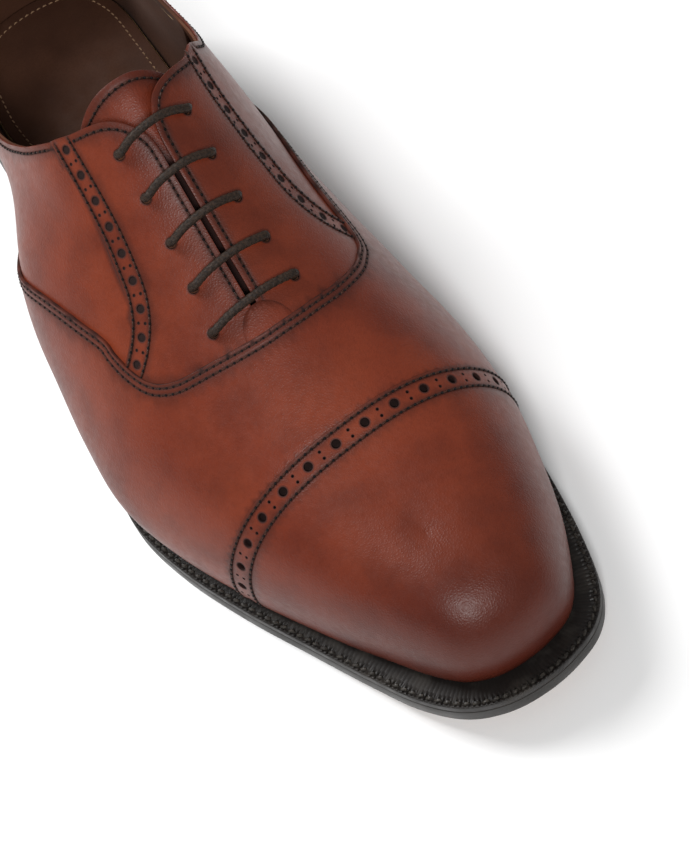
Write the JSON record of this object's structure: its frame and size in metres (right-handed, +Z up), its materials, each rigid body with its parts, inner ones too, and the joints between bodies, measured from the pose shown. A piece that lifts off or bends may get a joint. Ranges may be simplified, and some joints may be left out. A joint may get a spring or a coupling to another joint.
{
  "type": "leather oxford shoe",
  "caption": "Closed-lacing dress shoe with punched cap and facings, welted leather sole, stacked heel, inner lining and a tongue hinged at the throat.",
  "frame": {"origin": "centre of the bounding box in plan, on the ground plane under the sole", "axes": "+Y from toe to heel, +Z up, +X towards the inner side of the foot; the toe points along -Y"},
  "size_m": [0.1182, 0.2995, 0.1119],
  "materials": {
    "upper_leather": "burnished reddish-brown calf, satin with a fine pebble grain",
    "lining_leather": "brown lining leather, dull",
    "stiffener": "undyed stiffened leather board",
    "welt_leather": "black waxed welt with a wheeled top",
    "heel_leather": "black dressed stacked leather edge",
    "sole_leather": "black dressed edge, brown sole face",
    "rubber": "black moulded rubber",
    "insole_leather": "vegetable-tanned leather, undyed",
    "cork": "ground cork with binder",
    "steel": "plain spring steel",
    "brass": "dark antiqued brass",
    "lace_cord": "dark brown waxed cotton, round",
    "aglet_plastic": "dark brown, glossy"
  },
  "bodies": {
    "shoe": {"toe_cap": "upper_leather", "vamp": "upper_leather", "facing_outer": "upper_leather", "facing_inner": "upper_leather", "throat_tab": "upper_leather", "quarter_outer": "upper_leather", "quarter_inner": "upper_leather", "back_strip": "upper_leather", "vamp_lining": "lining_leather", "lining_outer": "lining_leather", "lining_inner": "lining_leather", "heel_lining": "lining_leather", "toe_puff": "stiffener", "heel_counter": "stiffener", "outsole": "sole_leather", "welt": "welt_leather", "heel_rand": "welt_leather", "cork_filler": "cork", "shank": "steel", "insole": "insole_leather", "sock": "lining_leather", "heel_top_piece": "rubber", "heel_lift_1": "heel_leather", "heel_lift_2": "heel_leather", "heel_wedge": "heel_leather", "lace": "lace_cord", "eyelet_outer_1": "brass", "eyelet_outer_2": "brass", "eyelet_outer_3": "brass", "eyelet_outer_4": "brass", "eyelet_outer_5": "brass", "eyelet_inner_1": "brass", "eyelet_inner_2": "brass", "eyelet_inner_3": "brass", "eyelet_inner_4": "brass", "eyelet_inner_5": "brass", "lace_end_outer": "lace_cord", "aglet_outer": "aglet_plastic", "lace_end_inner": "lace_cord", "aglet_inner": "aglet_plastic"},
    "tongue": {"tongue": "upper_leather", "tongue_lining": "lining_leather"}
  },
  "joints": [
    {"name": "tongue_fold", "type": "hinge", "parent": "shoe", "child": "tongue", "pos_m": [0.0051, -0.0385, 0.065], "axis": [1, 0, 0], "range_deg": [-12, 0]}
  ]
}
